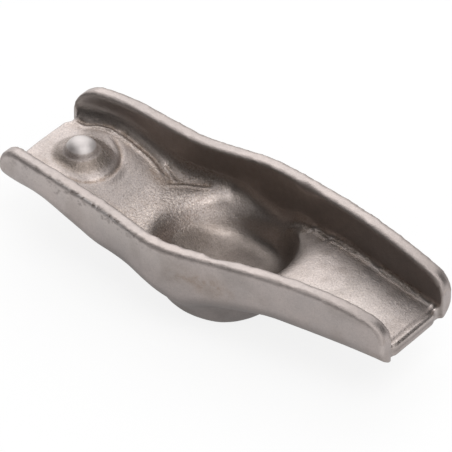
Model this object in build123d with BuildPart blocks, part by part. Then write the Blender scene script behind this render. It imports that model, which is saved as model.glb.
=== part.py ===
from build123d import *
import os
from math import cos, radians, sin, tan

# Stamped overhead-cam rocker arm: one pressing of constant sheet, lying with its channel upward.
# X runs from the pivot end to the valve end, the origin is under the middle of the cam pad, and
# Z = 0 is the pad's lowest line. The two walls are mirror images across the XZ plane.

# ---- sheet, bends and edges -----------------------------------------------------------------
sheet = 2.2
bend_inside = 0.9
bend_outside = bend_inside + sheet
bend_pivot = 2.4
bend_change = -4.5
bend_change_lean = -40.0
floor_set_back = 0.4

# ---- stations along the arm, measured from the middle of the cam pad ------------------------
pivot_reach = 26.8
pivot_overhang = 7.55
valve_reach = 26.8
valve_overhang = 5.95
tail_x = -(pivot_reach + pivot_overhang)
tip_x = valve_reach + valve_overhang
knee_x = 0.5 - pivot_reach
hollow_x = 11.0 - pivot_reach
shoulder_x = tail_x + 3.4
pivot_wall_x = 3.2 - pivot_reach
shoulder_top_x = 1.8 - pivot_reach
waist_x = -12.0
waist_foot_x = -8.5
bulge_x = -3.5
belly_x = 0.8
flank_x = 5.0
flank_foot_x = 5.4
crest_x = 13.0
neck_foot_x = 13.5
neck_x = 14.5
bulge_top_x = 0.5

# ---- half widths of the arm, over its walls -------------------------------------------------
tail_half = 9.3
shoulder_half = 10.1
pivot_half = 10.85
waist_half = 11.5
bulge_half = 12.95
flank_half = 12.1
neck_half = 10.5
tip_half = 7.9

# ---- heights of the floor's underside above the pad's lowest line ---------------------------
tail_foot = 7.45
knee_foot = 8.55
hollow_foot = 5.2
waist_foot = 5.25
belly_foot = 3.45
flank_foot = 5.4
neck_foot = 7.15
tip_foot = 6.6
foot_bends = [12, 12, 14, 6, 8, 15]
tail_bend = 60

# ---- heights of the wall tops, and the rounding of their end corners ------------------------
tail_top = 13.9
shoulder_top = 14.4
waist_top = 13.35
bulge_top = 13.95
crest_top = 15.1
tip_top = 13.15
tail_corner = 4.0
tip_corner = 3.0

# ---- cam pad: a round cup, drawn down through the floor, whose flat land rolls up at both ends -
pad_radius = 9.7
pad_land = 3.0
pad_flank = 10.0
pad_roll = 30.0
pad_draft = 14.0
pad_edge = 3.6
pad_crease = 1.2
pad_top = neck_foot + sheet / 2

# ---- pocket over the pad: a round cone that leans towards the pivot end ----------------------
pocket_radius = pad_radius - sheet
pocket_pivot_draft = 38.0
pocket_valve_draft = 20.0
pocket_edge = 1.6
pocket_rim = 3.0

# ---- pivot dome: pushed up from below, so it is hollow underneath ----------------------------
dome_height = 2.1
dome_tip = 2.7
dome_shoulder = 3.9
dome_shoulder_fall = 0.15
dimple_height = 1.9
dimple_tip = 1.3
dimple_shoulder = 2.5
dimple_shoulder_fall = 0.1
dome_roll = 67.0
skirt_slope = 28.0
skirt_depth = 1.6
pivot_floor = knee_foot + sheet

# ---- ends of the floor ----------------------------------------------------------------------
lip_roll = 20.0
lip_fall = 9.0
lip_length = 2.8
tail_relief = 1.1
tip_relief = 0.7
relief_offset = 0.3

# ---- working lengths that only need to reach past the arm ------------------------------------
run_out = 8.0
beyond = 60.0


def foot_line(lift: float) -> list:
    """Return the corners of the line that the floor follows from end to end, raised by lift."""
    return [
        (tail_x, tail_foot + lift),
        (knee_x, knee_foot + lift),
        (hollow_x, hollow_foot + lift),
        (waist_foot_x, waist_foot + lift),
        (belly_x, belly_foot + lift),
        (flank_foot_x, flank_foot + lift),
        (neck_foot_x, neck_foot + lift),
        (tip_x, tip_foot + lift),
    ]


def wall_line(inset: float) -> list:
    """Return the points of one long wall in plan, moved inward by inset."""
    return [
        (tail_x, tail_half - inset),
        (shoulder_x, shoulder_half - inset),
        (pivot_wall_x, pivot_half - inset),
        (waist_x, waist_half - inset),
        (bulge_x, bulge_half - inset),
        (flank_x, flank_half - inset),
        (neck_x, neck_half - inset),
        (tip_x, tip_half - inset),
    ]


top_line = [
    (tail_x, tail_top),
    (shoulder_top_x, shoulder_top),
    (waist_x, waist_top),
    (bulge_top_x, bulge_top),
    (crest_x, crest_top),
    (tip_x, tip_top),
]


def mirrored(points: list) -> list:
    """Return plan points on the other side of the arm's middle line."""
    return [(x, -y) for x, y in points]


# ---- outer form of the channel --------------------------------------------------------------
with BuildPart() as outer:
    with BuildSketch(Plane.XZ):
        with BuildLine():
            foot = FilletPolyline(*foot_line(0), radius=foot_bends)
            top = Spline(*top_line)
            Line(foot @ 0, top @ 0)
            Line(foot @ 1, top @ 1)
        make_face()
        fillet(vertices().sort_by_distance((tail_x, tail_top))[0], tail_corner)
        fillet(vertices().sort_by_distance((tip_x, tip_top))[0], tip_corner)
    extrude(amount=beyond, both=True)
    with BuildSketch(Plane.XY.offset(-beyond)):
        with BuildLine():
            near_wall = Spline(*mirrored(wall_line(0)))
            far_wall = Spline(*wall_line(0))
            Line(near_wall @ 0, far_wall @ 0)
            Line(near_wall @ 1, far_wall @ 1)
        make_face()
    extrude(amount=2 * beyond, mode=Mode.INTERSECT)
    long_edges = edges().filter_by(lambda e: abs(e.center().Y) > tip_half - 1)
    long_edges = long_edges.filter_by(lambda e: tail_x + 0.01 < e.center().X < tip_x - 0.01)
    fillet(long_edges.filter_by(lambda e: e.center().Z < waist_top - 4), bend_outside)

# ---- inner form of the channel, run out past both ends --------------------------------------
lip_corner = tip_x - floor_set_back - lip_length + lip_roll * tan(radians(lip_fall / 2))
lip_drop = (tip_x + run_out - lip_corner) * tan(radians(lip_fall))
floor_line = foot_line(sheet)[:-1]
with BuildPart() as channel:
    with BuildSketch(Plane.XZ):
        with BuildLine():
            floor = FilletPolyline(
                (tail_x - run_out, tail_foot + sheet),
                *floor_line,
                (lip_corner, tip_foot + sheet),
                (tip_x + run_out, tip_foot + sheet - lip_drop),
                radius=[tail_bend] + foot_bends + [lip_roll],
            )
            Polyline(floor @ 0, (tail_x - run_out, beyond), (tip_x + run_out, beyond), floor @ 1)
        make_face()
    extrude(amount=beyond, both=True)
    with BuildSketch(Plane.XY.offset(-beyond)):
        with BuildLine():
            near_wall = Spline(*mirrored(wall_line(sheet)))
            far_wall = Spline(*wall_line(sheet))
            near_tail = Line(near_wall @ 0, near_wall @ 0 - near_wall % 0 * run_out)
            far_tail = Line(far_wall @ 0, far_wall @ 0 - far_wall % 0 * run_out)
            near_tip = Line(near_wall @ 1, near_wall @ 1 + near_wall % 1 * run_out)
            far_tip = Line(far_wall @ 1, far_wall @ 1 + far_wall % 1 * run_out)
            Line(near_tail @ 1, far_tail @ 1)
            Line(near_tip @ 1, far_tip @ 1)
        make_face()
    extrude(amount=2 * beyond, mode=Mode.INTERSECT)

with BuildPart() as inner_plan:
    with BuildSketch(Plane.XY):
        with BuildLine():
            near_wall = Spline(*mirrored(wall_line(sheet)))
            far_wall = Spline(*wall_line(sheet))
            Line(near_wall @ 0, far_wall @ 0)
            Line(near_wall @ 1, far_wall @ 1)
        make_face()
    extrude(amount=beyond)


def half_channel(keep: Keep, bend: float) -> Part:
    """Return the channel on one side of the change of its bends, with its foot rounded by bend."""
    change = Plane((bend_change, 0, waist_foot + sheet), z_dir=(1, 0, tan(radians(bend_change_lean))))
    with BuildPart() as half:
        add(channel.part)
        split(bisect_by=change, keep=keep)
        low = half.edges().filter_by(lambda e: e.center().Z < waist_top - 1 and abs(e.center().Y) > 2)
        low = low.filter_by(lambda e: abs(change.to_local_coords(e @ 0.5).Z) > 0.01)
        fillet(low.filter_by(lambda e: abs((e % 0.5).X) > 0.7), bend)
    return half.part


def above_land(flank: float, lowest: float) -> Sketch:
    """Return the side view of all above a flat land at lowest, whose ends roll up with radius flank."""
    roll = radians(pad_roll)
    rolled = pad_land + flank * sin(roll)
    rise = flank * (1 - cos(roll))
    run = pad_radius
    with BuildSketch(Plane.XZ) as view:
        with BuildLine():
            Line((-pad_land, lowest), (pad_land, lowest))
            for side in (-1, 1):
                TangentArc(
                    (side * pad_land, lowest),
                    (side * rolled, lowest + rise),
                    tangent=(side, 0),
                )
                Polyline(
                    (side * rolled, lowest + rise),
                    (side * (rolled + run), lowest + rise + run * tan(roll)),
                    (side * (rolled + run), beyond),
                )
            Line((-rolled - run, beyond), (rolled + run, beyond))
        make_face()
    return view.sketch


with BuildPart() as cup:
    with BuildSketch(Plane.XY.offset(pad_top)):
        Circle(pad_radius + pad_top * tan(radians(pad_draft)))
    extrude(amount=-pad_top - 1, taper=pad_draft)
    extrude(above_land(pad_flank, 0), amount=beyond, both=True, mode=Mode.INTERSECT)
    fillet(cup.edges().group_by(Axis.Z)[0], pad_edge)

pivot_slope = tan(radians(pocket_pivot_draft))
valve_slope = tan(radians(pocket_valve_draft))
depth = 2 * pocket_radius / (pivot_slope + valve_slope)
apex = Vector(pocket_radius - depth * valve_slope, sheet - depth)
lean = radians((pocket_pivot_draft - pocket_valve_draft) / 2)
spread = radians((pocket_pivot_draft + pocket_valve_draft) / 2)
reach = depth + waist_top - 3
with BuildPart() as pocket:
    with BuildSketch(Plane.XZ):
        with BuildLine():
            middle = apex + Vector(-sin(lean), cos(lean)) * reach
            Polyline(apex, middle, middle + Vector(cos(lean), sin(lean)) * reach * tan(spread), apex)
        make_face()
    revolve(axis=Axis((apex.X, 0, apex.Y), (-sin(lean), 0, cos(lean))))
    extrude(above_land(pad_flank - sheet, sheet), amount=beyond, both=True, mode=Mode.INTERSECT)
    fillet(pocket.edges().group_by(Axis.Z)[0], pocket_edge)
    add(inner_plan.part, mode=Mode.INTERSECT)


def dome_form(seat: float, height: float, tip: float, shoulder: float, fall: float) -> Part:
    """Return a pushed-up dome: a ball tip that runs out into a hollow skirt, which passes below seat."""
    roll = radians(dome_roll)
    slope = radians(skirt_slope)
    axis_x = -pivot_reach
    peak = Vector(axis_x, seat + height)
    with BuildPart() as form:
        with BuildSketch(Plane.XZ):
            with BuildLine():
                ball = TangentArc(
                    peak,
                    peak + Vector(tip * sin(roll), tip * cos(roll) - tip),
                    tangent=(1, 0),
                )
                skirt = Spline(
                    (axis_x + shoulder, seat - fall),
                    ball @ 1,
                    tangents=[(-cos(slope), sin(slope)), (-cos(roll), sin(roll))],
                )
                Polyline(
                    ball @ 0,
                    (axis_x, seat - fall - skirt_depth),
                    (axis_x + shoulder + skirt_depth / tan(slope), seat - fall - skirt_depth),
                    skirt @ 0,
                )
            make_face()
        revolve(axis=Axis((axis_x, 0, 0), (0, 0, 1)))
    return form.part


# ---- the pressing ----------------------------------------------------------------------------
pivot_side = half_channel(Keep.BOTTOM, bend_pivot)
valve_side = half_channel(Keep.TOP, bend_inside)
with BuildPart() as hollow:
    add(pivot_side)
    add(valve_side)
    add(pocket.part)

with BuildPart() as pressing:
    add(outer.part)
    add(cup.part)
    cup_side = faces().filter_by(GeomType.CONE).sort_by(lambda f: f.area)[-1]
    fillet(cup_side.edges().sort_by(lambda e: (e @ 0.5).Z)[-1], pad_crease)
    add(hollow.part, mode=Mode.SUBTRACT)
    pocket_side = faces().filter_by(GeomType.CONE).sort_by(lambda f: f.area)[-1]
    rim = pocket_side.edges().filter_by(lambda e: e.geom_type != GeomType.LINE)
    fillet(rim.sort_by(lambda e: (e @ 0.5).X)[0], pocket_rim)
    add(dome_form(pivot_floor, dome_height, dome_tip, dome_shoulder, dome_shoulder_fall))
    add(
        dome_form(knee_foot, dimple_height, dimple_tip, dimple_shoulder, dimple_shoulder_fall),
        mode=Mode.SUBTRACT,
    )
    # the floor stops short of the wall ends, with a round relief where it meets each bend
    for end_x, outward, end_half, relief in (
        (tail_x, -1, tail_half, tail_relief),
        (tip_x, 1, tip_half, tip_relief),
    ):
        floor_end = end_x - outward * floor_set_back
        with BuildSketch(Plane.XY):
            with Locations((floor_end + outward * run_out / 2, 0)):
                Rectangle(run_out, 2 * (end_half - sheet - bend_inside))
            with Locations(
                (floor_end + outward * relief_offset, end_half - sheet - relief),
                (floor_end + outward * relief_offset, relief + sheet - end_half),
            ):
                Circle(relief)
        extrude(amount=pivot_floor + bend_inside, mode=Mode.SUBTRACT)

# ---- as it lies: level on the land of its pad, with the middle of its length at X = 0 ----------
with BuildPart() as rocker_arm:
    with Locations((-(tail_x + tip_x) / 2, 0, 0)):
        add(pressing.part)

os.makedirs("parts", exist_ok=True)
rocker_arm.part.label = "rocker_arm"
export_step(rocker_arm.part, "parts/rocker_arm.step")
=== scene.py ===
"""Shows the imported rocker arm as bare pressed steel, in a pale studio.

Every length is in metres and every place is in the part's own frame. Names that end in
_arm are the exception: they are in millimetres along the arm's own axes, which are the
part's frame measured from the middle of the cam pad. What works on the arm's skin counts
in those axes too: x is the station along the arm, from the pivot end at -X to the valve
end at +X, y the distance across it and z the height.
"""
from __future__ import annotations

import logging
import math
from dataclasses import dataclass, field
from enum import Enum
from typing import Any

import bpy
import numpy as np
from mathutils import Matrix, Vector, noise
from mathutils.bvhtree import BVHTree


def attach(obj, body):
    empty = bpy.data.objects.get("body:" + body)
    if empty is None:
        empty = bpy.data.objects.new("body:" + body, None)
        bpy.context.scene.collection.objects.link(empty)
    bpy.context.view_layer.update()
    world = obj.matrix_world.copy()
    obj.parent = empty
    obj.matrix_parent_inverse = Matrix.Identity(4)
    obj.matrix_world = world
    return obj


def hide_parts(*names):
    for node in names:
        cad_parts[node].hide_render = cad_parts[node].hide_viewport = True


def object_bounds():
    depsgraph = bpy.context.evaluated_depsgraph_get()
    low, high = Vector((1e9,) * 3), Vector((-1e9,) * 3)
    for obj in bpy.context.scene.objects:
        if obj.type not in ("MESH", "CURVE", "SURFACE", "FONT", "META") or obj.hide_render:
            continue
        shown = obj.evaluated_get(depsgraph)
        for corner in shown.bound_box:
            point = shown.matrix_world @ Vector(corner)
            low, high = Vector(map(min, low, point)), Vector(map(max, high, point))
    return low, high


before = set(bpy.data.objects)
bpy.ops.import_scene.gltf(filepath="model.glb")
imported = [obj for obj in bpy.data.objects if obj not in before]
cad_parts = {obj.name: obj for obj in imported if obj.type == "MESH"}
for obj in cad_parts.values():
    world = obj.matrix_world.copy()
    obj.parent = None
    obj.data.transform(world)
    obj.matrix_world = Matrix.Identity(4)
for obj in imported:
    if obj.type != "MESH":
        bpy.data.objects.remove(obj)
CAD_BOX = [list(corner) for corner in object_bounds()]

LOG = logging.getLogger("rocker_arm")
MM = 0.001
# The picture's width and height, in pixels.
PICTURE_SIDE = 452

Points = np.ndarray
Weights = np.ndarray
Colour = tuple[float, float, float]


class Lamp(Enum):
    """The studio's soft boxes."""

    BACK = "back_softbox"
    TOP = "top_softbox"


class Mask(Enum):
    """Painted amounts that the mesh carries and the steel reads, each from 0 to 1."""

    CREASE = "crease"
    WEAR_AND_HIGHLIGHT = "wear"
    PEEL = "peel"
    SATIN = "satin"
    OIL_AND_SHADE = "film"
    PIT_AND_GROOVE_SHADE = "pit"


# ---- the arm's own axes ---------------------------------------------------------------------


@dataclass(frozen=True)
class ArmAxes:
    """The axes that the arm's sizes are given in.

    Attributes:
        origin_mm: the place of their origin in the part's frame.
    """

    origin_mm: tuple[float, float, float] = (0.8, 0.0, 0.0)

    def to_frame(self, places_arm: Points) -> Points:
        """Return places in the part's frame, in metres."""
        return (np.asarray(places_arm, float) + self.origin_mm) * MM

    def to_arm(self, places: Points) -> Points:
        """Return places in the arm's axes, in millimetres."""
        return np.asarray(places, float) / MM - self.origin_mm


AXES = ArmAxes()


# ---- materials ------------------------------------------------------------------------------


class Signal:
    """A node's output that can be added, multiplied and so on, as numbers can.

    Args:
        builder: the builder of the nodes round it.
        socket: the output.
    """

    def __init__(self, builder: NodeBuilder, socket: bpy.types.NodeSocket) -> None:
        """Wrap the output."""
        self.builder = builder
        self.socket = socket

    @property
    def is_vector(self) -> bool:
        """True for a vector or a colour, False for a number."""
        return self.socket.type in {"VECTOR", "RGBA"}

    def _maths(self, operation: str, first: Any, second: Any) -> Signal:
        """Add a Math node, or a Vector Math node where a vector takes part.

        Args:
            operation: what the node does.
            first: its first value, or the signal that gives it.
            second: its second value, or the signal that gives it.

        Returns:
            The result.
        """
        vector = any(isinstance(v, Signal) and v.is_vector for v in (first, second))
        kind, name = ("ShaderNodeVectorMath", "Vector") if vector else ("ShaderNodeMath", "Value")
        values = {"operation": operation, name: first, f"{name}_001": second}
        return self.builder.node(kind, **values)

    def __add__(self, other: Any) -> Signal:
        """Return this plus the other."""
        return self._maths("ADD", self, other)

    def __radd__(self, other: Any) -> Signal:
        """Return the other plus this."""
        return self._maths("ADD", other, self)

    def __sub__(self, other: Any) -> Signal:
        """Return this less the other."""
        return self._maths("SUBTRACT", self, other)

    def __rsub__(self, other: Any) -> Signal:
        """Return the other less this."""
        return self._maths("SUBTRACT", other, self)

    def __mul__(self, other: Any) -> Signal:
        """Return this times the other."""
        return self._maths("MULTIPLY", self, other)

    def __rmul__(self, other: Any) -> Signal:
        """Return the other times this."""
        return self._maths("MULTIPLY", other, self)

    def ramp(self, low: float, high: float) -> Signal:
        """Return a smooth step.

        Args:
            low: where it is 0.
            high: where it is 1, which may be less than low.

        Returns:
            The step, from 0 to 1.
        """
        step = self.builder.node(
            "ShaderNodeMapRange", "Result", interpolation_type="SMOOTHSTEP", Value=self,
            From_Min=min(low, high), From_Max=max(low, high),
        )
        return step if low < high else 1.0 - step

    def blend(self, first: Any, second: Any) -> Signal:
        """Return the first colour where this number is 0 and the second where it is 1."""
        return self.builder.node(
            "ShaderNodeMix", "Result_Color", data_type="RGBA",
            Factor_Float=self, A_Color=first, B_Color=second,
        )


@dataclass(frozen=True)
class Cloud:
    """A soft noise.

    Attributes:
        per_mm: how many of its patches lie on a millimetre.
        detail: how many finer noises lie over it.
        rough: how strong each of these is beside the one before.
    """

    per_mm: float
    detail: float
    rough: float


class NodeBuilder:
    """Builds the nodes of one material or world.

    Args:
        owner: the new material or world.

    Attributes:
        LIFT: how much brighter a white in view is for a full share of the usual look.
    """

    LIFT = 0.25

    def __init__(self, owner: bpy.types.Material | bpy.types.World) -> None:
        """Start with no nodes."""
        self.owner = owner
        owner.use_nodes = True
        self.tree = owner.node_tree
        self.tree.nodes.clear()

    @staticmethod
    def _slot(slots: Any, name: str | int) -> bpy.types.NodeSocket:
        """Find one of a node's inputs or outputs.

        Args:
            slots: the node's inputs or outputs.
            name: its number, its identifier, or its name with underscores for spaces.

        Returns:
            The input or output.
        """
        if isinstance(name, int):
            return slots[name]
        return next(s for s in slots if name in (s.name.replace(" ", "_"), s.identifier))

    def _fill(self, slot: bpy.types.NodeSocket, value: Any) -> None:
        """Link or set one input.

        Args:
            slot: the input.
            value: a signal, or a number, vector or colour.
        """
        if isinstance(value, Signal):
            self.tree.links.new(value.socket, slot)
        elif slot.type in {"VECTOR", "RGBA"} and isinstance(value, (int, float)):
            slot.default_value = (value,) * len(slot.default_value)
        elif slot.type == "RGBA":
            slot.default_value = (*value, 1.0)
        else:
            slot.default_value = value

    def made(self, kind: str, **values: Any) -> bpy.types.Node:
        """Add a node. Every node of the scene comes from here.

        Args:
            kind: the node's type.
            **values: its settings, by their own names, and the values or links of its
                inputs, by names that _slot takes. Settings are made first, because they
                change the inputs.

        Returns:
            The node.
        """
        node = self.tree.nodes.new(kind)
        settings = {name for name in values if hasattr(node, name)}
        for name in values:
            if name in settings:
                setattr(node, name, values[name])
        for name in values:
            if name not in settings:
                self._fill(self._slot(node.inputs, name), values[name])
        return node

    def node(self, kind: str, output: str | int = 0, **values: Any) -> Signal:
        """Add a node and return one of its outputs.

        Args:
            kind: the node's type.
            output: the output to return, as _slot takes it.
            **values: its settings and inputs, as for made.

        Returns:
            The output.
        """
        return Signal(self, self._slot(self.made(kind, **values).outputs, output))

    def painted(self, mask: Mask) -> Signal:
        """Return the amount of a painted mask."""
        return self.node("ShaderNodeAttribute", "Fac", attribute_name=mask.value)

    def cloud(self, where: Signal, look: Cloud) -> Signal:
        """Return a soft noise from 0 to 1 at places in millimetres."""
        return self.node(
            "ShaderNodeTexNoise", "Fac",
            Vector=where, Scale=look.per_mm, Detail=look.detail, Roughness=look.rough,
        )

    def white_around(self, usual: Signal, share: Signal, kept: float = 0.0) -> Signal:
        """Return a surface that is white behind the part and in its gloss.

        Args:
            usual: the surface as all other light meets it.
            share: how white the gloss sees it.
            kept: how much of its usual look stays in view, so that it shows the part's
                shadow. The white is lifted with it, by LIFT, to stay white in the open.

        Returns:
            The surface.
        """
        camera, glossy, clear = (
            self.node("ShaderNodeLightPath", f"Is_{kind}_Ray")
            for kind in ("Camera", "Glossy", "Transmission")
        )
        white, seen = (
            self.node("ShaderNodeEmission", Color=(1.0, 1.0, 1.0), Strength=strength)
            for strength in (1.0 + self.LIFT * kept, share)
        )
        return self.mixed(camera * (1.0 - kept), self.mixed(glossy + clear, usual, seen), white)

    def mixed(self, factor: Signal, first: Signal, second: Signal) -> Signal:
        """Return the first surface where the factor is 0 and the second where it is 1."""
        return self.node("ShaderNodeMixShader", Fac=factor, Shader=first, Shader_001=second)

    def finish(self, surface: Signal) -> bpy.types.Material | bpy.types.World:
        """Connect the surface to the owner's output.

        Args:
            surface: the surface.

        Returns:
            The owner.
        """
        kind = "World" if isinstance(self.owner, bpy.types.World) else "Material"
        self.made(f"ShaderNodeOutput{kind}", Surface=surface)
        return self.owner


@dataclass(frozen=True)
class SteelFinish:
    """Bare pressed steel as it comes from the press, tumbled and lightly oiled.

    Attributes:
        body: its main colour.
        cool: the colour of its greyer patches.
        bronze: the brown of stains and of the opened grain, and of painted shade in creases and
            beside folds.
        pit_and_shade_dark: the colour of pits and sheared lines, and of painted shade in the
            folds' grooves and the valve end's scored line.
        dirt_and_shade: the colour of fine specks and of oil, and of painted shade on the walls'
            inner faces, in the pocket and on the dome's flank.
        bright: the colour of rubbed edges, and of painted highlights on the folds' ridges, the
            bulge and the valve floor.
        cap: the colour of the dome's rubbed top, lightened as a painted highlight.
        glint: the colour of painted glints on the grain's peaks.
        dull: roughness of the body.
        sleek: roughness of rubbed places.
        blotches: the wide patches of its colour.
        mottles: the patches of a millimetre in its colour, gloss and height.
        grains: the fine grain.
        flecks: the specks and glints.
        pebbles: the soft bumps of its opened grain.
    """

    body: Colour = (0.490, 0.432, 0.412)
    cool: Colour = (0.420, 0.382, 0.372)
    bronze: Colour = (0.330, 0.225, 0.150)
    pit_and_shade_dark: Colour = (0.090, 0.075, 0.066)
    dirt_and_shade: Colour = (0.200, 0.165, 0.140)
    bright: Colour = (0.560, 0.505, 0.480)
    cap: Colour = (0.700, 0.660, 0.650)
    glint: Colour = (0.760, 0.665, 0.580)
    dull: float = 0.43
    sleek: float = 0.37
    blotches: Cloud = Cloud(0.16, 4.0, 0.6)
    mottles: Cloud = Cloud(1.1, 5.0, 0.65)
    grains: Cloud = Cloud(5.0, 4.0, 0.6)
    flecks: Cloud = Cloud(4.0, 3.0, 0.65)
    pebbles: Cloud = Cloud(2.4, 1.5, 0.4)

    def build(self) -> bpy.types.Material:
        """Lay the steel's colours over each other, then give it its gloss and its grain.

        Returns:
            The steel's material.
        """
        b = NodeBuilder(bpy.data.materials.new("bare_steel"))
        mm = b.node("ShaderNodeTexCoord", "Object") * (1 / MM)
        blotch, mottle = b.cloud(mm, self.blotches), b.cloud(mm, self.mottles)
        grain, fleck, pebble = (b.cloud(mm, c) for c in (self.grains, self.flecks, self.pebbles))
        crease, wear, peel = (b.painted(m) for m in (Mask.CREASE, Mask.WEAR_AND_HIGHLIGHT, Mask.PEEL))
        satin, pit, film = (b.painted(m) for m in (Mask.SATIN, Mask.PIT_AND_GROOVE_SHADE, Mask.OIL_AND_SHADE))
        tint = crease * mottle.ramp(0.15, 0.75)

        # Each colour lies over those before it: how much of it shows, and what it is.
        layers = (
            (blotch.ramp(0.35, 0.70) * 0.6, self.cool),
            (mottle.ramp(0.48, 0.80) * 0.30, self.cool),
            # Brown of stains, and painted shade in creases and beside folds.
            (tint, self.bronze),
            # Rubbed edges, and painted highlights on the folds' ridges, the bulge and the valve
            # floor.
            (wear * (0.6 + 0.4 * mottle), self.bright),
            (peel * grain.ramp(0.42, 0.68) * 0.45, self.bronze),
            # Pits, and painted shade in the folds' grooves and the valve end's scored line.
            (pit * grain.ramp(0.28, 0.60) * 0.60, self.pit_and_shade_dark),
            (fleck.ramp(0.50, 0.68) * (0.14 + 0.66 * peel), self.dirt_and_shade),
            # Painted glints on the grain's peaks.
            (fleck.ramp(0.47, 0.33) * (0.12 + 0.60 * peel), self.glint),
            # Oil, and painted shade on the walls' inner faces, in the pocket and on the dome's
            # flank.
            (film * (0.62 + 0.30 * mottle), self.dirt_and_shade),
            # Painted highlight on the dome's rubbed top.
            ((satin * wear).ramp(0.6, 1.0) * (0.6 + 0.5 * mottle), self.cap),
        )
        colour: Any = self.body
        for amount, tone in layers:
            colour = amount.blend(colour, tone)

        # Its gloss varies by itself and where it is marked. Its relief is small all over and
        # stands higher where the grain opened.
        uneven = (mottle - 0.5) * 0.22 + (grain - 0.5) * 0.10
        marked = tint * 0.12 + pit * 0.2 + satin * 0.24 - wear * (self.dull - self.sleek)
        height_mm = (
            mottle * 0.014
            + grain * (0.012 + 0.034 * peel)
            + pebble * (0.010 + 0.036 * peel)
            + fleck * (0.004 + 0.006 * peel)
        )
        bump = b.node("ShaderNodeBump", Height=height_mm * MM, Distance=1.0, Strength=1.0)
        return b.finish(b.node(
            "ShaderNodeBsdfPrincipled", "BSDF", Base_Color=colour, Metallic=1.0,
            Roughness=self.dull + uneven + marked, Normal=bump,
        ))


# ---- the arm's mesh -------------------------------------------------------------------------


def smooth_step(value: Weights, low: float, high: float) -> Weights:
    """Return 0 at low and 1 at high with soft ends; low may be the larger."""
    t = np.clip((value - low) / (high - low), 0.0, 1.0)
    return t * t * (3.0 - 2.0 * t)


def bell(value: Weights, width: float) -> Weights:
    """Return 1 where value is 0, falling to 0.37 at width."""
    return np.exp(-((value / width) ** 2))


def patchy(places: Points, per_mm: float, seed: float = 0.0) -> Weights:
    """Return soft noise from -1 to 1 at places in millimetres."""
    offset = Vector((seed * 17.3, seed * 5.1, seed * 9.7))
    return np.array([noise.noise(Vector(p) * per_mm + offset) for p in places.tolist()])


@dataclass
class Skin:
    """A closed mesh of quads under work, in the arm's axes.

    Attributes:
        places_arm: one row for each vertex.
        faces: the vertex numbers of each quad.
        masks: the painted amounts of each vertex.
    """

    places_arm: Points
    faces: np.ndarray
    masks: dict[Mask, Weights] = field(init=False)

    def __post_init__(self) -> None:
        """Note which vertices are neighbours, and start with clean masks."""
        pairs = np.concatenate([self.faces[:, [i, (i + 1) % 4]] for i in range(4)])
        self.starts = np.concatenate([pairs[:, 0], pairs[:, 1]])
        self.ends = np.concatenate([pairs[:, 1], pairs[:, 0]])
        self.count = np.bincount(self.starts, minlength=len(self.places_arm)).astype(float)
        self.masks = {mask: np.zeros(len(self.places_arm)) for mask in Mask}

    def averaged(self, values: np.ndarray) -> np.ndarray:
        """Average over neighbours.

        Args:
            values: a number or a row for each vertex.

        Returns:
            The mean of the values at each vertex's neighbours.
        """
        columns = values.reshape(len(values), -1)
        sums = [
            np.bincount(self.starts, columns[self.ends, i], len(self.count))
            for i in range(columns.shape[1])
        ]
        return (np.stack(sums, 1) / self.count[:, None]).reshape(values.shape)

    def normals(self) -> Points:
        """Work out which way the skin faces.

        Returns:
            The outward normal at each vertex.
        """
        p = self.places_arm[self.faces]
        flat = np.cross(p[:, 2] - p[:, 0], p[:, 3] - p[:, 1])
        total = np.zeros_like(self.places_arm)
        for corner in range(4):
            np.add.at(total, self.faces[:, corner], flat)
        return total / (np.linalg.norm(total, axis=1)[:, None] + 1e-12)

    def spread(self, spots: np.ndarray, values: Weights) -> Weights:
        """Return weights that have the values at the spots and are 0 elsewhere."""
        return np.bincount(spots, values, len(self.places_arm))

    def relaxed(self, rounds: int, where: Weights | float = 1.0) -> None:
        """Even out the vertices' places.

        Args:
            rounds: how many times.
            where: how much of it each vertex takes, from 0 to 1.
        """
        share = 0.5 * np.broadcast_to(where, len(self.places_arm))[:, None]
        for _ in range(rounds):
            self.places_arm += share * (self.averaged(self.places_arm) - self.places_arm)

    def raised(self, height: Weights) -> None:
        """Move each vertex outward by a height in millimetres."""
        self.places_arm += self.normals() * height[:, None]

    def painted(self, mask: Mask, *layers: Weights) -> None:
        """Lay more of a mask over what is there.

        Args:
            mask: the mask.
            *layers: amounts for each vertex; the largest one counts.
        """
        for weights in layers:
            self.masks[mask] = np.maximum(self.masks[mask], np.clip(weights, 0.0, 1.0))

    def drawn_to(self, surface: BVHTree) -> None:
        """Move each vertex to the nearest place on a surface.

        Args:
            surface: the surface, in the part's frame.
        """
        places = AXES.to_frame(self.places_arm).tolist()
        spots = [surface.find_nearest(Vector(place))[0] for place in places]
        self.places_arm = AXES.to_arm(np.array(spots))

    def build(self, name: str) -> bpy.types.Object:
        """Turn the skin into an object, shaded smooth, with its masks.

        Args:
            name: the object's name.

        Returns:
            The object.
        """
        mesh = bpy.data.meshes.new(name)
        mesh.from_pydata(AXES.to_frame(self.places_arm).tolist(), [], self.faces.tolist())
        for mask, weights in self.masks.items():
            layer = mesh.attributes.new(mask.value, "FLOAT", "POINT")
            layer.data.foreach_set("value", weights.astype(np.float32))
        mesh.polygons.foreach_set("use_smooth", [True] * len(mesh.polygons))
        mesh.update()
        thing = bpy.data.objects.new(name, mesh)
        bpy.context.scene.collection.objects.link(thing)
        return thing


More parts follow.
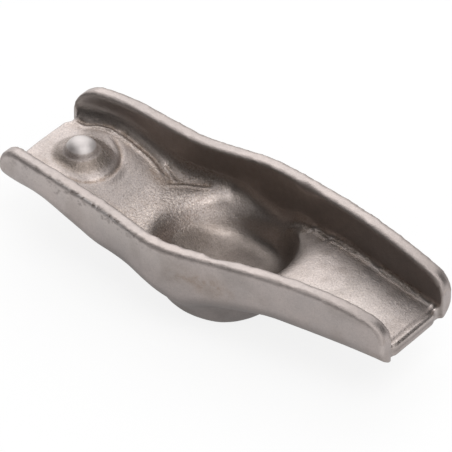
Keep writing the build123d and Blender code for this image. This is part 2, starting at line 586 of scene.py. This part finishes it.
@dataclass(frozen=True)
class PivotDome:
    """The dome that the pivot post carries: a worn ball tip on a plain round skirt.

    Attributes:
        middle: its station along the arm.
        seat: the height of the floor's top where the dome stands.
        height: its height above that seat.
        tip: radius of the ball before its top wore flatter.
        rim: radius at which the ball ends.
        step: height of the small step round the ball.
        slope: fall of the skirt for each millimetre outward.
        knee: station and height at which the floor bends down both ways.
        falls: fall of the floor for each millimetre, towards the end and towards the pad.
        bend: half the length and the radius of the floor's bend.
        reach: the radii at which its shape ends and within which it is whole.
        breadth: the same for the distances from the arm's middle line.
        underside: a height above everything below the floor's sheet.
        fillet: how softly the skirt meets the floor.
        foot: radius and width of the crease round the skirt.
        foot_depth: depth of that crease.
    """

    middle: float = -26.8
    seat: float = 10.75
    height: float = 2.1
    tip: float = 2.7
    rim: float = 2.49
    step: float = 0.06
    slope: float = 0.56
    knee: tuple[float, float] = (-26.3, 10.75)
    falls: tuple[float, float] = (0.1366, 0.3190)
    bend: tuple[float, float] = (2.7, 12.0)
    reach: tuple[float, float] = (8.2, 7.2)
    breadth: tuple[float, float] = (6.2, 5.5)
    underside: float = 8.2
    fillet: float = 0.12
    foot: tuple[float, float] = (5.6, 0.28)
    foot_depth: float = 0.10

    def floor(self, station: Weights) -> Weights:
        """Work out the height of the floor's top, without the dome.

        Args:
            station: places along the arm.

        Returns:
            The height at each of them.
        """
        along = station - self.knee[0]
        lines = np.where(along < 0, along * self.falls[0], -along * self.falls[1])
        half, radius = self.bend
        return self.knee[1] + lines - np.clip(half - np.abs(along), 0.0, None) ** 2 / (2 * radius)

    def profile(self, out: Weights) -> Weights:
        """Work out the dome's height.

        Args:
            out: distances from its middle.

        Returns:
            The height at each of them.
        """
        share = np.clip(out / self.rim, 0.0, 1.0)
        ring = self.height - self.tip + math.sqrt(self.tip**2 - self.rim**2)
        ball = self.height - (self.height - ring) * (0.45 * share**2 + 0.55 * share**5)
        past = np.clip(out - self.rim, 0.0, None)
        skirt = ring - self.slope * past - self.step * (1 - np.exp(-past / (self.step / 1.8)))
        return self.seat + np.where(out < self.rim, ball, skirt)

    def shape(self, skin: Skin) -> None:
        """Form the dome out of the floor and crease its foot; lighten its rubbed top as a painted
        highlight, with painted shade in the crease and on its flank.

        Args:
            skin: the arm's skin.
        """
        x, y, z = skin.places_arm.T
        out = np.hypot(x - self.middle, y)
        top = skin.normals()[:, 2] > 0.05
        near = smooth_step(out, *self.reach) * smooth_step(np.abs(y), *self.breadth) * top
        rise = self.profile(out) - self.floor(x)
        target = self.floor(x) + 0.5 * (rise + np.sqrt(rise**2 + self.fillet**2))
        skin.places_arm[:, 2] += near * (z > self.underside) * (target - z)
        skin.relaxed(2, near)
        # The ball's top is rubbed and rougher, and lightened as a painted highlight.
        skin.painted(Mask.SATIN, smooth_step(out, 2.9, 2.3) * top)
        skin.painted(Mask.WEAR_AND_HIGHLIGHT, smooth_step(out, 2.5, 2.0) * top)

        radius, width = self.foot
        toward_pad = smooth_step(x - self.middle, 0.0, 2.5) * (np.abs(y) < 6.0)
        foot = bell(out - radius, width) * top * toward_pad
        skin.raised(-self.foot_depth * foot)
        # Painted shade in the crease round the skirt.
        skin.painted(Mask.CREASE, 0.6 * foot)

        flank = smooth_step(out, 2.5, 2.9) * smooth_step(out, 5.2, 3.6) * top
        near_side = smooth_step(y - 0.6 * (x - self.middle), 2.0, -2.0)
        # Painted shade on the skirt's flank, deepest on the near side; its grain is opened.
        skin.painted(Mask.OIL_AND_SHADE, flank * (0.35 + 0.65 * near_side))
        skin.painted(Mask.PEEL, flank)


@dataclass(frozen=True)
class Fold:
    """A thin ridge that the press left where the sheet folded.

    Attributes:
        line: stations and half widths along it, in plan.
        height: how far it stands up.
        width: its half thickness.
        groove: depth of the crease on its outer side.
        seed: what makes it differ from others.
        margin: how far beyond its line's half widths it may reach.
        ceiling: the height of the walls, which stay as they are.
    """

    line: tuple[tuple[float, float], ...]
    height: float
    width: float
    groove: float
    seed: float
    margin: float = 2.0
    ceiling: float = 11.5

    def _measured(self, plan: Points) -> tuple[Weights, Weights]:
        """Measure places against the fold's line.

        Args:
            plan: their stations and half widths.

        Returns:
            How far each lies from the line, above 0 on its outer side, and how far along
            it, as a share of its length.
        """
        points = np.array(self.line)
        nearest = np.full(len(plan), np.inf)
        across, along = np.zeros(len(plan)), np.zeros(len(plan))
        steps = np.diff(points, axis=0)
        lengths = np.hypot(*steps.T)
        starts = np.concatenate([[0.0], np.cumsum(lengths)])
        for start, step, length, done in zip(points, steps, lengths, starts):
            way = plan - start
            share = np.clip(way @ step / length**2, 0.0, 1.0)
            gap = way - share[:, None] * step
            distance = np.hypot(*gap.T)
            hand = np.sign(step[0] * gap[:, 1] - step[1] * gap[:, 0])
            closer = distance < nearest
            nearest[closer] = distance[closer]
            across[closer] = (distance * hand)[closer]
            along[closer] = (done + share * length)[closer]
        return across, along / starts[-1]

    def press(self, skin: Skin, side: int) -> None:
        """Form the fold on the channel's floor.

        Args:
            skin: the arm's skin.
            side: 1 for the side of +Y, -1 for that of -Y.
        """
        plan = skin.places_arm[:, :2] * (1, side)
        halves = [half for _, half in self.line]
        far = (plan[:, 1] < min(halves) - self.margin) | (plan[:, 1] > max(halves) + self.margin)
        upward = skin.normals()[:, 2] > 0.15
        spots = np.flatnonzero(~far & upward & (skin.places_arm[:, 2] < self.ceiling))
        across, share = self._measured(plan[spots])
        fade = smooth_step(share, 0.0, 0.05) * smooth_step(share, 1.0, 0.85)
        fade *= 0.75 + 0.5 * patchy(skin.places_arm[spots], 0.8, self.seed)
        behind = across - 2.2 * self.width
        ridge = skin.spread(spots, fade * bell(across, self.width))
        crease = skin.spread(spots, fade * bell(behind, 1.3 * self.width))
        halo = skin.spread(spots, fade * bell(across, 1.1))
        skin.raised(self.height * ridge - self.groove * crease)
        # Painted highlight on the ridge, painted shade in the groove behind it, and brown round
        # it.
        skin.painted(Mask.WEAR_AND_HIGHLIGHT, 1.2 * ridge)
        skin.painted(Mask.CREASE, 0.9 * crease, 0.5 * halo)
        skin.painted(Mask.PIT_AND_GROOVE_SHADE, 0.7 * crease)
        skin.painted(Mask.PEEL, halo)


DOME_FOLD = (
    (-33.0, 5.4), (-30.5, 5.2), (-29.0, 6.0), (-27.0, 6.5), (-23.4, 6.6), (-19.7, 6.6),
    (-16.2, 5.7),
)
FOLDS = (
    Fold(DOME_FOLD, 0.22, 0.26, 0.20, 1.0),
    Fold(((-17.6, 7.1), (-16.2, 6.8), (-14.5, 6.0)), 0.12, 0.18, 0.10, 2.0),
    Fold(((-14.9, 4.8), (-13.7, 5.9), (-12.5, 6.7), (-9.2, 8.1)), 0.12, 0.22, 0.10, 3.0),
    Fold(((3.1, 9.0), (5.9, 8.8), (7.6, 8.4)), 0.10, 0.20, 0.08, 4.0),
    Fold(((7.9, 8.9), (9.4, 8.4), (11.2, 7.8)), 0.16, 0.20, 0.14, 5.0),
    Fold(((11.5, 7.9), (15.7, 7.3), (19.9, 6.9)), 0.10, 0.22, 0.10, 6.0),
    Fold(((20.9, 6.7), (24.9, 6.1), (29.7, 5.4)), 0.10, 0.20, 0.10, 7.0),
)


@dataclass(frozen=True)
class Zones:
    """What each vertex of the finished shape belongs to.

    Attributes:
        x: its station along the arm.
        y: its distance across the arm.
        z: its height.
        side: its distance from the arm's middle line.
        out: its distance from the middle of the cam pad's pocket.
        inner: 1 on the channel's floor and the feet of the walls.
        pocket: 1 in the pocket.
        walls: 1 on the walls' inner faces.
        outside: 1 on the upper half of the walls' outer faces.
        tops: 1 on the walls' tops.
    """

    x: Weights
    y: Weights
    z: Weights
    side: Weights
    out: Weights
    inner: Weights
    pocket: Weights
    walls: Weights
    outside: Weights
    tops: Weights

    @classmethod
    def of(cls, skin: Skin, up: Weights) -> Zones:
        """Work out the zones of a skin.

        Args:
            skin: the arm's skin.
            up: how far each vertex faces upward, before the sheet's waves.

        Returns:
            The zones.
        """
        x, y, z = skin.places_arm.T
        side, out = np.abs(y), np.hypot(x, y)
        inward = -np.sign(y) * skin.normals()[:, 1]
        inner = (up > 0.2) & (z < 11.8) & (side < 11.0)
        return cls(
            x=x, y=y, z=z, side=side, out=out, inner=inner,
            pocket=inner * smooth_step(out, 10.2, 8.6),
            walls=smooth_step(inward, 0.3, 0.8) * smooth_step(z, 4.0, 8.0),
            outside=smooth_step(inward, -0.5, -0.8) * smooth_step(z, 8.5, 12.0),
            tops=smooth_step(up, 0.6, 0.9) * (z > 12.2),
        )


@dataclass(frozen=True)
class ArmDressing:
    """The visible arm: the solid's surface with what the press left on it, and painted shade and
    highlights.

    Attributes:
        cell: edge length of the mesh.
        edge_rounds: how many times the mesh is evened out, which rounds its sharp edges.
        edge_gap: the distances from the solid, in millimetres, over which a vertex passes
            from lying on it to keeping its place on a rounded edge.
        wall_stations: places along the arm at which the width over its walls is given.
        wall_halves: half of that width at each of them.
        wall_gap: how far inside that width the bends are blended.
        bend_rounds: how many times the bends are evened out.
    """

    cell: float = 0.25 * MM
    edge_rounds: int = 8
    edge_gap: tuple[float, float] = (0.01, 0.05)
    wall_stations: tuple[float, ...] = (-34.35, -23.6, -12.0, -3.5, 5.0, 14.5, 32.75)
    wall_halves: tuple[float, ...] = (9.3, 10.85, 11.5, 12.95, 12.1, 10.5, 7.9)
    wall_gap: float = 1.1
    bend_rounds: int = 140

    def _evenly_meshed(self, node: bpy.types.Object) -> Skin:
        """Mesh a copy of the node's surface with even quads.

        Args:
            node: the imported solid.

        Returns:
            The skin to work on.
        """
        copy = bpy.data.objects.new("arm_work", node.data.copy())
        bpy.context.scene.collection.objects.link(copy)
        remesh = copy.modifiers.new("even", "REMESH")
        remesh.mode = "VOXEL"
        remesh.voxel_size = self.cell
        graph = bpy.context.evaluated_depsgraph_get()
        mesh = bpy.data.meshes.new_from_object(copy.evaluated_get(graph), depsgraph=graph)
        places = np.empty(len(mesh.vertices) * 3)
        mesh.vertices.foreach_get("co", places)
        faces = np.empty(len(mesh.polygons) * 4, dtype=np.int64)
        mesh.polygons.foreach_get("vertices", faces)
        bpy.data.objects.remove(copy)
        return Skin(AXES.to_arm(places.reshape(-1, 3)), faces.reshape(-1, 4))

    def _lay_on(self, skin: Skin, surface: BVHTree) -> Weights:
        """Lay the skin on the solid, all but its edges, which keep a small round.

        Args:
            skin: the arm's skin.
            surface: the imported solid's surface.

        Returns:
            1 on the rounded edges and 0 elsewhere.
        """
        skin.relaxed(3)
        skin.drawn_to(surface)
        skin.relaxed(self.edge_rounds)
        rounded = skin.places_arm.copy()
        skin.drawn_to(surface)
        gap = np.linalg.norm(rounded - skin.places_arm, axis=1)
        edges = skin.averaged(smooth_step(gap, *self.edge_gap))
        skin.places_arm += edges[:, None] * (rounded - skin.places_arm)
        return edges

    def build(self, node: bpy.types.Object) -> bpy.types.Object:
        """Build the visible arm in the node's place.

        Args:
            node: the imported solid.

        Returns:
            The finished arm, without its material.
        """
        skin = self._evenly_meshed(node)
        LOG.info("even mesh: %d vertices, %d quads", len(skin.places_arm), len(skin.faces))
        graph = bpy.context.evaluated_depsgraph_get()
        edges = self._lay_on(skin, BVHTree.FromObject(node, graph))
        PivotDome().shape(skin)
        self._blend_bends(skin)
        for fold in FOLDS:
            fold.press(skin, 1)
            fold.press(skin, -1)
        self._trim_walls(skin, edges)
        self._trim_tip(skin)
        self._weather(skin)
        self._keep_inside(skin)
        return skin.build("pressed_arm")

    def _blend_bends(self, skin: Skin) -> None:
        """Soften the bends beside the pad, round its pocket's foot and at its rim.

        Args:
            skin: the arm's skin.
        """
        x, y, z = skin.places_arm.T
        side, out = np.abs(y), np.hypot(x, y)
        half = np.interp(x, self.wall_stations, self.wall_halves)
        inner = (side < half - self.wall_gap) * (z > 2.0)
        stations = smooth_step(x, -7.5, -5.0) * smooth_step(x, 7.5, 4.5)
        beside = stations * smooth_step(side, 7.6, 8.6) * smooth_step(z, 10.6, 9.4)
        foot = bell(out - 6.8, 1.8) * smooth_step(z, 5.2, 4.2)
        rim = bell(out - 10.3, 1.4) * smooth_step(x, 3.5, 6.0) * smooth_step(z, 7.5, 8.5)
        bends = np.maximum(np.maximum(beside, foot), rim)
        skin.relaxed(self.bend_rounds, bends * inner)

    def _trim_walls(self, skin: Skin, edges: Weights) -> None:
        """Mark the sheared wall tops: a burnished band, a rougher band and pits outside.

        Args:
            skin: the arm's skin.
            edges: 1 on the rounded edges and 0 elsewhere.
        """
        x, y, z = skin.places_arm.T
        side, high = np.abs(y), z > 11.0
        top = smooth_step(skin.normals()[:, 2], 0.55, 0.85) * (z > 12.4)
        skin.painted(Mask.WEAR_AND_HIGHLIGHT, 0.40 * edges + 0.08 * top)
        skin.painted(Mask.SATIN, smooth_step(edges, 0.1, 0.5) * high)

        # The walls' widest place in each half millimetre of the arm gives how far inside
        # their outer faces a vertex lies.
        slices, last = (x + 34.0) * 2, 140
        widest = np.zeros(last + 1)
        np.maximum.at(widest, np.clip(slices.astype(int), 0, last), side * high)
        inward = np.interp(slices, np.arange(last + 1) + 0.5, widest) - side
        outer = bell(inward - 0.25, 0.35) * (z > 12.0)
        rough = patchy(skin.places_arm, 1.6, 8.0) + 0.6 * patchy(skin.places_arm, 4.0, 9.0)
        pits = smooth_step(rough, 0.16, 0.42) * outer
        stretch = np.where(y < 0, bell(x + 17.0, 14.0), 0.25)
        skin.raised(-0.10 * pits * stretch)
        skin.painted(Mask.PIT_AND_GROOVE_SHADE, pits * stretch)
        skin.painted(Mask.WEAR_AND_HIGHLIGHT, 0.9 * outer * stretch * (1.0 - pits))

    def _trim_tip(self, skin: Skin) -> None:
        """Score the line across the valve end's floor and the sheared band on its end face.

        Args:
            skin: the arm's skin.
        """
        x, y, z = skin.places_arm.T
        floor = (np.abs(y) < 8.2) * (skin.normals()[:, 2] > 0.3) * (z > 6.0) * (z < 10.5)
        line = bell(x - 31.35, 0.20) * floor
        skin.raised(-0.12 * line)
        # The scored line is darkened as painted shade in its groove.
        skin.painted(Mask.PIT_AND_GROOVE_SHADE, 0.5 * line)
        skin.painted(Mask.WEAR_AND_HIGHLIGHT, 0.9 * smooth_step(x, 31.5, 31.8) * floor)
        face = smooth_step(x, 31.9, 32.3) * smooth_step(np.abs(y), 6.2, 5.4)
        wander = 0.15 * patchy(skin.places_arm, 0.6, 14.0)
        sheared = bell(z - 7.6 - wander, 0.25) * face
        skin.raised(-0.10 * sheared)
        skin.painted(Mask.PIT_AND_GROOVE_SHADE, 0.6 * sheared)

    def _weather(self, skin: Skin) -> None:
        """Give the sheet its slight waves, then paint its stains and oil, painted shade and
        painted highlights.

        Args:
            skin: the arm's skin.
        """
        up = skin.normals()[:, 2]
        long_waves = 0.035 * patchy(skin.places_arm, 0.22, 11.0)
        skin.raised(long_waves + 0.012 * patchy(skin.places_arm, 0.9, 12.0))
        zones = Zones.of(skin, up)
        bulge = bell(zones.x + 12.5, 5.5)
        skin.painted(Mask.PEEL, 0.35 * zones.inner, bulge * zones.inner)
        self._brown_and_shade(skin, zones)
        self._paint_oil_and_shade(skin, zones)
        self._rub_and_highlight(skin, zones)

    def _brown_and_shade(self, skin: Skin, zones: Zones) -> None:
        """Paint the sheet brown in places, with painted shade in the valleys beside the dome's
        folds, and mark pits at the valve end.

        Args:
            skin: the arm's skin.
            zones: its zones.
        """
        x, y, z, side, inner = zones.x, zones.y, zones.z, zones.side, zones.inner
        stains = 0.5 + 0.5 * patchy(skin.places_arm, 0.5, 13.0)
        tip_corners = bell(x - 31.0, 2.0) * bell(z - 6.5, 2.0) * (side > 6.5)
        dome_valleys = bell(x + 16.5, 3.0) * bell(side - 5.6, 1.4) * inner
        before_pocket = bell(x + 8.5, 2.6) * bell(y - 2.0, 5.0) * inner
        outer_bend = bell(x - 4.5, 5.0) * bell(z - 10.4, 1.8) * (y < -10.0)
        # Painted shade in the valleys beside the dome's folds; brown in patches before the
        # pocket, on the near wall's outer bend and at the valve end's lower corners.
        skin.painted(
            Mask.CREASE,
            0.7 * tip_corners, 0.8 * dome_valleys,
            0.5 * stains * before_pocket, 0.9 * stains * outer_bend,
        )
        tip_ends = bell(x - 31.6, 0.5) * bell(side - 6.9, 0.5) * (z < 9.5)
        skin.painted(Mask.PIT_AND_GROOVE_SHADE, 0.6 * tip_ends)

    def _paint_oil_and_shade(self, skin: Skin, zones: Zones) -> None:
        """Paint patches of oil, and painted shade on the walls' inner faces, in the pocket, round
        its rim and before the lip.

        Args:
            skin: the arm's skin.
            zones: its zones.
        """
        x, y, z, inner = zones.x, zones.y, zones.z, zones.inner
        smudges = smooth_step(patchy(skin.places_arm, 0.45, 15.0), 0.0, 0.45)
        traces = smooth_step(patchy(skin.places_arm, 0.3, 16.0), 0.0, 0.5)
        pocket_foot = zones.pocket * smooth_step(z, 9.6, 7.0)
        pivot_side = zones.pocket * bell(z - 8.0, 1.6) * smooth_step(x, -2.0, -4.5)
        valve_floor = smudges * inner * smooth_step(x, 7.0, 11.0) * smooth_step(x, 24.0, 17.0)
        valve_tip = inner * bell(x - 29.6, 1.3) * smooth_step(y, 3.0, -2.0)
        pocket_rim = inner * bell(zones.out - 10.4, 1.3) * smooth_step(x, 4.0, 6.0)
        # Painted shade on the walls' inner faces, in the pocket, round its rim and before the
        # lip; the tops a little darker; oil in traces and in smudges on the valve floor.
        skin.painted(
            Mask.OIL_AND_SHADE,
            zones.walls * (0.55 + 0.35 * bell(x + 6.0, 14.0)),
            0.80 * pocket_foot, 0.90 * pivot_side, 0.22 * zones.tops, 0.22 * traces,
            0.40 * valve_floor, 0.35 * valve_tip, 0.5 * pocket_rim,
        )

    def _rub_and_highlight(self, skin: Skin, zones: Zones) -> None:
        """Lay painted highlights on the bulge's top and the valve floor, and lighten the walls'
        upper outer faces.

        Args:
            skin: the arm's skin.
            zones: its zones.
        """
        x, y, inner = zones.x, zones.y, zones.inner
        bulge_top = bell(x + 10.5, 4.0) * bell(y - 0.5, 6.0) * smooth_step(zones.z, 8.6, 9.4)
        valve_floor = bell(x - 22.5, 6.5) * bell(y + 2.0, 5.0)
        outside = bell(x + 11.0, 10.0) * zones.outside
        # Painted highlights on the bulge's top and the valve floor; the walls lighter high on
        # their outer faces.
        skin.painted(Mask.WEAR_AND_HIGHLIGHT, 0.9 * bulge_top * inner, valve_floor * inner, 0.9 * outside)

    def _keep_inside(self, skin: Skin) -> None:
        """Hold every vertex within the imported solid's box."""
        low, high = (np.array(corner) for corner in CAD_BOX)
        skin.places_arm = AXES.to_arm(np.clip(AXES.to_frame(skin.places_arm), low, high))


# ---- the studio -----------------------------------------------------------------------------


def bearing(azimuth: float, elevation: float) -> np.ndarray:
    """Return the direction at a bearing and a height in degrees; 0 is at -Y, 90 at +X."""
    a, e = math.radians(azimuth), math.radians(elevation)
    return np.array([math.sin(a) * math.cos(e), -math.cos(a) * math.cos(e), math.sin(e)])


@dataclass(frozen=True)
class Softbox:
    """A soft box that looks at the part.

    Attributes:
        lamp: which one it is.
        azimuth: its bearing round the part in degrees.
        elevation: its height above the floor in degrees.
        distance: how far it stands from the part.
        side: its edge length.
        power: its light in watts.
    """

    lamp: Lamp
    azimuth: float
    elevation: float
    distance: float
    side: float
    power: float

    def place(self, target: Vector) -> None:
        """Hang the lamp so that it faces the target.

        Args:
            target: the place that it lights.
        """
        light = bpy.data.lights.new(self.lamp.value, "AREA")
        light.shape = "SQUARE"
        light.size = self.side
        light.energy = self.power
        thing = bpy.data.objects.new(self.lamp.value, light)
        bpy.context.scene.collection.objects.link(thing)
        away = Vector(bearing(self.azimuth, self.elevation))
        thing.location = target + away * self.distance
        thing.rotation_euler = (-away).to_track_quat("-Z", "Y").to_euler()


@dataclass(frozen=True)
class DarkCard:
    """A dark card that stands in the white room, to give the steel its shading.

    Attributes:
        azimuth: its bearing round the part in degrees.
        elevation: the height of its middle above the floor in degrees.
        reach: the angles from its middle within which it is full and beyond which it ends.
        depth: how much of the white it takes away.
    """

    azimuth: float
    elevation: float
    reach: tuple[float, float]
    depth: float

    def left(self, b: NodeBuilder, way: Signal) -> Signal:
        """Work out what the card leaves of the room's white.

        Args:
            b: the builder of the room's nodes.
            way: the direction in which the gloss looks.

        Returns:
            What is left, from 0 to 1.
        """
        full, end = (math.cos(math.radians(angle)) for angle in self.reach)
        toward = b.node(
            "ShaderNodeVectorMath", "Value", operation="DOT_PRODUCT",
            Vector=way, Vector_001=Vector(bearing(self.azimuth, self.elevation)),
        )
        return 1.0 - toward.ramp(end, full) * self.depth


@dataclass(frozen=True)
class ContactShade:
    """The part's soft shade on the table, as its own gloss shows it.

    Attributes:
        scale: what a place on the table is multiplied by, along X, Y and Z, before its
            distance from the part's middle is taken.
        end: the distance at which the shade has ended.
        full: the distance within which it is full.
        depth: how much of the white it takes away.
    """

    scale: tuple[float, float, float] = (620.0, 1000.0, 0.0)
    end: float = 38.0
    full: float = 7.0
    depth: float = 0.66

    def left(self, b: NodeBuilder) -> Signal:
        """Work out what the shade leaves of the table's white.

        Args:
            b: the builder of the table's nodes.

        Returns:
            What is left, from 0 to 1.
        """
        way = b.node("ShaderNodeTexCoord", "Object") * Vector(self.scale)
        out = b.node("ShaderNodeVectorMath", "Value", operation="LENGTH", Vector=way)
        return 1.0 - out.ramp(self.end, self.full) * self.depth


@dataclass(frozen=True)
class Viewpoint:
    """The camera, given in the arm's own axes.

    Attributes:
        azimuth: bearing round the arm in degrees; 0 looks along the arm's +Y.
        elevation: height above the arm's own level in degrees.
        distance: from the aim point, in millimetres.
        aim_arm: the point that it looks at.
        focal: focal length in widths of the picture.
        aside: where the aim point lies in the picture, right of and below its middle.
        sensor: width of the picture in the camera, in millimetres.
        clip: the nearest and the farthest that it sees.
    """

    azimuth: float = 38.5
    elevation: float = 39.0
    distance: float = 806.7
    aim_arm: tuple[float, float, float] = (0.9, 0.0, 9.5)
    focal: float = 5800 / PICTURE_SIDE
    aside: tuple[float, float] = (9 / PICTURE_SIDE, 9 / PICTURE_SIDE)
    sensor: float = 36.0
    clip: tuple[float, float] = (0.05, 20.0)

    def place(self) -> None:
        """Set up the scene's camera."""
        away = bearing(self.azimuth, self.elevation)
        a = math.radians(self.azimuth)
        right = np.array([math.cos(a), math.sin(a), 0.0])
        axes = np.stack([right, np.cross(away, right), away], 1)
        spot = AXES.to_frame(np.array(self.aim_arm) + away * self.distance)
        lens = bpy.data.cameras.new("camera")
        lens.sensor_width = self.sensor
        lens.lens = self.focal * self.sensor
        lens.shift_x, lens.shift_y = -self.aside[0], self.aside[1]
        lens.clip_start, lens.clip_end = self.clip
        camera = bpy.data.objects.new("camera", lens)
        bpy.context.scene.collection.objects.link(camera)
        camera.matrix_world = Matrix.Translation(spot) @ Matrix(axes.tolist()).to_4x4()
        bpy.context.scene.camera = camera


@dataclass(frozen=True)
class Studio:
    """A white table in a white room, with dark cards and soft boxes round the part.

    Attributes:
        boxes: the soft boxes.
        cards: the dark cards.
        under: the part's shade on the table in its gloss.
        room: the room's light on the table.
        table: the table's colour.
        table_half: half the table's edge length.
        shadow: how much of the table's own shading stays in view.
        target: the place that the soft boxes light.
    """

    boxes: tuple[Softbox, ...] = (
        Softbox(Lamp.BACK, 218.0, 42.0, 0.60, 0.60, 1.35),
        Softbox(Lamp.TOP, 78.0, 64.0, 0.60, 0.42, 1.3),
    )
    cards: tuple[DarkCard, ...] = (
        DarkCard(325.0, 24.0, (38.0, 66.0), 0.97),
        DarkCard(158.0, 26.0, (28.0, 58.0), 0.95),
    )
    under: ContactShade = ContactShade()
    room: Colour = (0.5, 0.5, 0.5)
    table: Colour = (0.86, 0.86, 0.86)
    table_half: float = 1.5
    shadow: float = 0.2
    target: tuple[float, float, float] = (0.0, 0.0, 0.008)

    def _room(self) -> None:
        """Set up the white room, darkened in gloss by the cards."""
        b = NodeBuilder(bpy.data.worlds.new("room"))
        way = b.node("ShaderNodeTexCoord", "Generated")
        left = self.cards[0].left(b, way)
        for card in self.cards[1:]:
            left = left * card.left(b, way)
        plain = b.node("ShaderNodeBackground", Color=self.room)
        bpy.context.scene.world = b.finish(b.white_around(plain, left))

    def _table(self) -> None:
        """Set up the white table, shaded in gloss under the part."""
        mesh = bpy.data.meshes.new("table_top")
        half = self.table_half
        corners = [(-half, -half, 0), (half, -half, 0), (half, half, 0), (-half, half, 0)]
        mesh.from_pydata(corners, [], [(0, 1, 2, 3)])
        table = bpy.data.objects.new("table_top", mesh)
        bpy.context.scene.collection.objects.link(table)
        b = NodeBuilder(bpy.data.materials.new("white_table"))
        matt = b.node("ShaderNodeBsdfDiffuse", "BSDF", Color=self.table)
        surface = b.white_around(matt, self.under.left(b), self.shadow)
        mesh.materials.append(b.finish(surface))

    def build(self) -> None:
        """Set up the room, the table and the lamps."""
        self._room()
        self._table()
        for box in self.boxes:
            box.place(Vector(self.target))
            LOG.info("lamp: %s", box.lamp.value)
        bpy.context.scene.view_settings.view_transform = "Standard"


# ---- putting it together --------------------------------------------------------------------


def main() -> None:
    """Build the visible arm, the studio and the camera."""
    logging.basicConfig(level=logging.INFO, format="%(name)s: %(message)s")
    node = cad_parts["rocker_arm"]
    arm = ArmDressing().build(node)
    arm.data.materials.append(SteelFinish().build())
    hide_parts("rocker_arm")
    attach(arm, "root")
    LOG.info("piece: %s, %d quads", arm.name, len(arm.data.polygons))
    Studio().build()
    Viewpoint().place()


if __name__ == "__main__":
    main()
